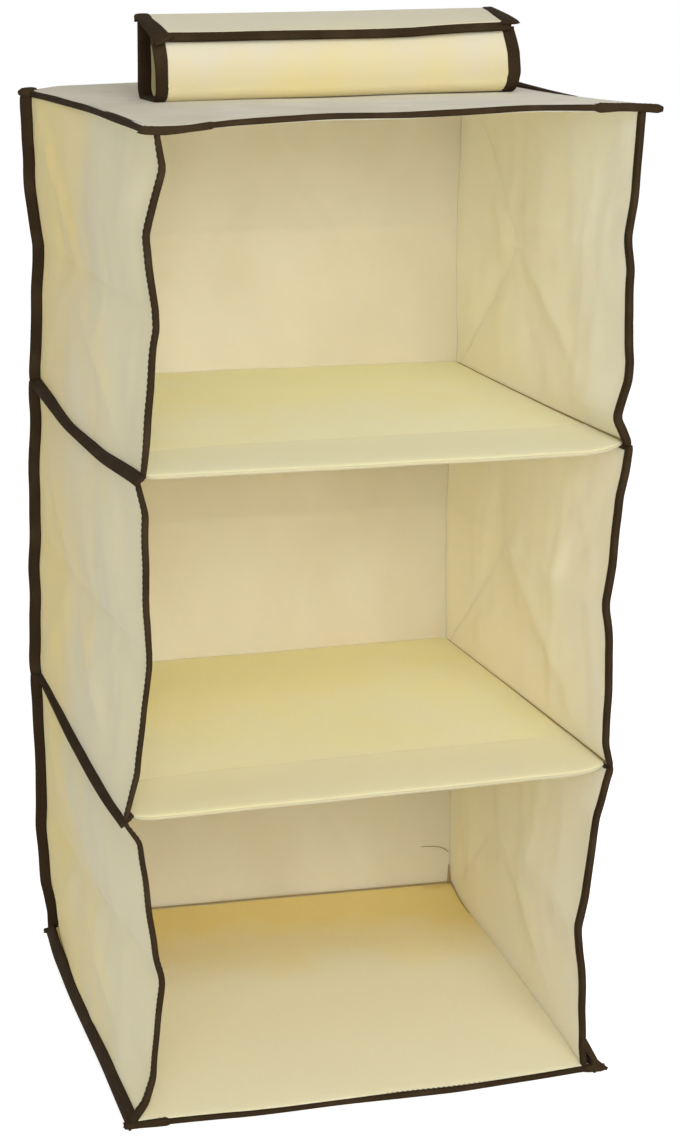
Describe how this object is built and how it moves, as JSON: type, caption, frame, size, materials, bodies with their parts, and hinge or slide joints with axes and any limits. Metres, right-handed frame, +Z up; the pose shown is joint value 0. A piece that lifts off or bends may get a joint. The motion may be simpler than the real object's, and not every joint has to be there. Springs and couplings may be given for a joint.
{
  "type": "hanging fabric shelf",
  "caption": "Open-fronted fabric shelf on a wide strap that closes round a rail; its creased walls fold inwards so that it closes flat.",
  "frame": {"origin": "middle of the rail tunnel inside the strap, which the shelf hangs by", "axes": "+X across the shelf along the rail, +Y to the closed back, +Z up"},
  "size_m": [0.318, 0.29, 0.6406],
  "materials": {
    "cream_fabric": "matt non-woven cloth, cream",
    "brown_edge_tape": "ribbed dark brown edge tape",
    "stiff_board": "plain grey-brown board",
    "closure_tape": "cream hook and loop tape"
  },
  "bodies": {
    "top_panel": {"strap_cradle": "cream_fabric", "top_board": "stiff_board", "top_cover": "cream_fabric", "top_tape": "brown_edge_tape", "top_left_gusset": "cream_fabric", "top_left_rear_tape": "brown_edge_tape", "top_right_gusset": "cream_fabric", "top_right_rear_tape": "brown_edge_tape"},
    "strap_flap": {"strap_flap": "cream_fabric", "strap_flap_tape": "brown_edge_tape", "strap_hook_tape": "closure_tape"},
    "strap_wing": {"strap_wing": "cream_fabric", "strap_loop_tape": "closure_tape"},
    "upper_shelf": {"upper_shelf_board": "stiff_board", "upper_shelf_sleeve": "cream_fabric", "upper_shelf_tape": "brown_edge_tape", "middle_left_gusset": "cream_fabric", "middle_left_rear_tape": "brown_edge_tape", "middle_right_gusset": "cream_fabric", "middle_right_rear_tape": "brown_edge_tape"},
    "lower_shelf": {"lower_shelf_board": "stiff_board", "lower_shelf_sleeve": "cream_fabric", "lower_shelf_tape": "brown_edge_tape", "bottom_left_gusset": "cream_fabric", "bottom_left_rear_tape": "brown_edge_tape", "bottom_right_gusset": "cream_fabric", "bottom_right_rear_tape": "brown_edge_tape"},
    "bottom_panel": {"bottom_board": "stiff_board", "bottom_cover": "cream_fabric", "bottom_tape": "brown_edge_tape"},
    "top_back_upper": {"top_back_upper": "cream_fabric"},
    "top_back_lower": {"top_back_lower": "cream_fabric"},
    "top_left_upper": {"top_left_upper": "cream_fabric", "top_left_upper_tape": "brown_edge_tape"},
    "top_left_lower": {"top_left_lower": "cream_fabric", "top_left_lower_tape": "brown_edge_tape"},
    "top_right_upper": {"top_right_upper": "cream_fabric", "top_right_upper_tape": "brown_edge_tape"},
    "top_right_lower": {"top_right_lower": "cream_fabric", "top_right_lower_tape": "brown_edge_tape"},
    "middle_back_upper": {"middle_back_upper": "cream_fabric"},
    "middle_back_lower": {"middle_back_lower": "cream_fabric"},
    "middle_left_upper": {"middle_left_upper": "cream_fabric", "middle_left_upper_tape": "brown_edge_tape"},
    "middle_left_lower": {"middle_left_lower": "cream_fabric", "middle_left_lower_tape": "brown_edge_tape"},
    "middle_right_upper": {"middle_right_upper": "cream_fabric", "middle_right_upper_tape": "brown_edge_tape"},
    "middle_right_lower": {"middle_right_lower": "cream_fabric", "middle_right_lower_tape": "brown_edge_tape"},
    "bottom_back_upper": {"bottom_back_upper": "cream_fabric"},
    "bottom_back_lower": {"bottom_back_lower": "cream_fabric"},
    "bottom_left_upper": {"bottom_left_upper": "cream_fabric", "bottom_left_upper_tape": "brown_edge_tape"},
    "bottom_left_lower": {"bottom_left_lower": "cream_fabric", "bottom_left_lower_tape": "brown_edge_tape"},
    "bottom_right_upper": {"bottom_right_upper": "cream_fabric", "bottom_right_upper_tape": "brown_edge_tape"},
    "bottom_right_lower": {"bottom_right_lower": "cream_fabric", "bottom_right_lower_tape": "brown_edge_tape"}
  },
  "joints": [
    {"name": "flap_open", "type": "hinge", "parent": "top_panel", "child": "strap_flap", "pos_m": [0.0105, 0.022, 0.02638], "axis": [-1, 0, 0], "range_deg": [0, 115]},
    {"name": "wing_open", "type": "hinge", "parent": "top_panel", "child": "strap_wing", "pos_m": [0.0105, -0.022, 0.01685], "axis": [1, 0, 0], "range_deg": [0, 92]},
    {"name": "fold_top", "type": "hinge", "parent": "top_panel", "child": "top_back_upper", "pos_m": [0, 0.1175, -0.02438], "axis": [-1, 0, 0], "range_deg": [0, 84], "deforming": ["top_left_gusset", "top_left_rear_tape", "top_right_gusset", "top_right_rear_tape"]},
    {"name": "top_back_crease", "type": "hinge", "parent": "top_back_upper", "child": "top_back_lower", "pos_m": [0, 0.1175, -0.1193], "axis": [1, 0, 0], "range_deg": [0, 168], "stiffness_Nm_per_rad": 0.26, "springref_deg": -114.59},
    {"name": "top_panel_hinge", "type": "hinge", "parent": "top_back_lower", "child": "upper_shelf", "pos_m": [0, 0.1175, -0.21422], "axis": [-1, 0, 0], "range_deg": [0, 84]},
    {"name": "top_left_wall", "type": "hinge", "parent": "top_panel", "child": "top_left_upper", "pos_m": [-0.1483, -0.02, -0.02438], "axis": [0, -1, 0], "range_deg": [0, 84]},
    {"name": "top_left_crease", "type": "hinge", "parent": "top_left_upper", "child": "top_left_lower", "pos_m": [-0.1483, -0.02, -0.1193], "axis": [0, 1, 0], "range_deg": [0, 168]},
    {"name": "top_right_wall", "type": "hinge", "parent": "top_panel", "child": "top_right_upper", "pos_m": [0.1483, -0.02, -0.02438], "axis": [0, 1, 0], "range_deg": [0, 84]},
    {"name": "top_right_crease", "type": "hinge", "parent": "top_right_upper", "child": "top_right_lower", "pos_m": [0.1483, -0.02, -0.1193], "axis": [0, -1, 0], "range_deg": [0, 168]},
    {"name": "fold_middle", "type": "hinge", "parent": "upper_shelf", "child": "middle_back_upper", "pos_m": [0, 0.1175, -0.22038], "axis": [-1, 0, 0], "range_deg": [0, 84], "deforming": ["middle_left_gusset", "middle_left_rear_tape", "middle_right_gusset", "middle_right_rear_tape"]},
    {"name": "middle_back_crease", "type": "hinge", "parent": "middle_back_upper", "child": "middle_back_lower", "pos_m": [0, 0.1175, -0.3153], "axis": [1, 0, 0], "range_deg": [0, 168], "stiffness_Nm_per_rad": 0.175, "springref_deg": -114.59},
    {"name": "middle_panel_hinge", "type": "hinge", "parent": "middle_back_lower", "child": "lower_shelf", "pos_m": [0, 0.1175, -0.41022], "axis": [-1, 0, 0], "range_deg": [0, 84]},
    {"name": "middle_left_wall", "type": "hinge", "parent": "upper_shelf", "child": "middle_left_upper", "pos_m": [-0.1483, -0.02, -0.22038], "axis": [0, -1, 0], "range_deg": [0, 84]},
    {"name": "middle_left_crease", "type": "hinge", "parent": "middle_left_upper", "child": "middle_left_lower", "pos_m": [-0.1483, -0.02, -0.3153], "axis": [0, 1, 0], "range_deg": [0, 168]},
    {"name": "middle_right_wall", "type": "hinge", "parent": "upper_shelf", "child": "middle_right_upper", "pos_m": [0.1483, -0.02, -0.22038], "axis": [0, 1, 0], "range_deg": [0, 84]},
    {"name": "middle_right_crease", "type": "hinge", "parent": "middle_right_upper", "child": "middle_right_lower", "pos_m": [0.1483, -0.02, -0.3153], "axis": [0, -1, 0], "range_deg": [0, 168]},
    {"name": "fold_bottom", "type": "hinge", "parent": "lower_shelf", "child": "bottom_back_upper", "pos_m": [0, 0.1175, -0.41638], "axis": [-1, 0, 0], "range_deg": [0, 84], "deforming": ["bottom_left_gusset", "bottom_left_rear_tape", "bottom_right_gusset", "bottom_right_rear_tape"]},
    {"name": "bottom_back_crease", "type": "hinge", "parent": "bottom_back_upper", "child": "bottom_back_lower", "pos_m": [0, 0.1175, -0.5113], "axis": [1, 0, 0], "range_deg": [0, 168], "stiffness_Nm_per_rad": 0.09, "springref_deg": -114.59},
    {"name": "bottom_panel_hinge", "type": "hinge", "parent": "bottom_back_lower", "child": "bottom_panel", "pos_m": [0, 0.1175, -0.60622], "axis": [-1, 0, 0], "range_deg": [0, 84]},
    {"name": "bottom_left_wall", "type": "hinge", "parent": "lower_shelf", "child": "bottom_left_upper", "pos_m": [-0.1483, -0.02, -0.41638], "axis": [0, -1, 0], "range_deg": [0, 84]},
    {"name": "bottom_left_crease", "type": "hinge", "parent": "bottom_left_upper", "child": "bottom_left_lower", "pos_m": [-0.1483, -0.02, -0.5113], "axis": [0, 1, 0], "range_deg": [0, 168]},
    {"name": "bottom_right_wall", "type": "hinge", "parent": "lower_shelf", "child": "bottom_right_upper", "pos_m": [0.1483, -0.02, -0.41638], "axis": [0, 1, 0], "range_deg": [0, 84]},
    {"name": "bottom_right_crease", "type": "hinge", "parent": "bottom_right_upper", "child": "bottom_right_lower", "pos_m": [0.1483, -0.02, -0.5113], "axis": [0, -1, 0], "range_deg": [0, 168]}
  ],
  "couplings": [
    {"joint": "wing_open", "follows": "flap_open", "ratio": 0.8},
    {"joint": "top_back_crease", "follows": "fold_top", "ratio": 2},
    {"joint": "top_panel_hinge", "follows": "fold_top", "ratio": 1},
    {"joint": "top_left_wall", "follows": "fold_top", "ratio": 1},
    {"joint": "top_left_crease", "follows": "fold_top", "ratio": 2},
    {"joint": "top_right_wall", "follows": "fold_top", "ratio": 1},
    {"joint": "top_right_crease", "follows": "fold_top", "ratio": 2},
    {"joint": "middle_back_crease", "follows": "fold_middle", "ratio": 2},
    {"joint": "middle_panel_hinge", "follows": "fold_middle", "ratio": 1},
    {"joint": "middle_left_wall", "follows": "fold_middle", "ratio": 1},
    {"joint": "middle_left_crease", "follows": "fold_middle", "ratio": 2},
    {"joint": "middle_right_wall", "follows": "fold_middle", "ratio": 1},
    {"joint": "middle_right_crease", "follows": "fold_middle", "ratio": 2},
    {"joint": "bottom_back_crease", "follows": "fold_bottom", "ratio": 2},
    {"joint": "bottom_panel_hinge", "follows": "fold_bottom", "ratio": 1},
    {"joint": "bottom_left_wall", "follows": "fold_bottom", "ratio": 1},
    {"joint": "bottom_left_crease", "follows": "fold_bottom", "ratio": 2},
    {"joint": "bottom_right_wall", "follows": "fold_bottom", "ratio": 1},
    {"joint": "bottom_right_crease", "follows": "fold_bottom", "ratio": 2}
  ]
}
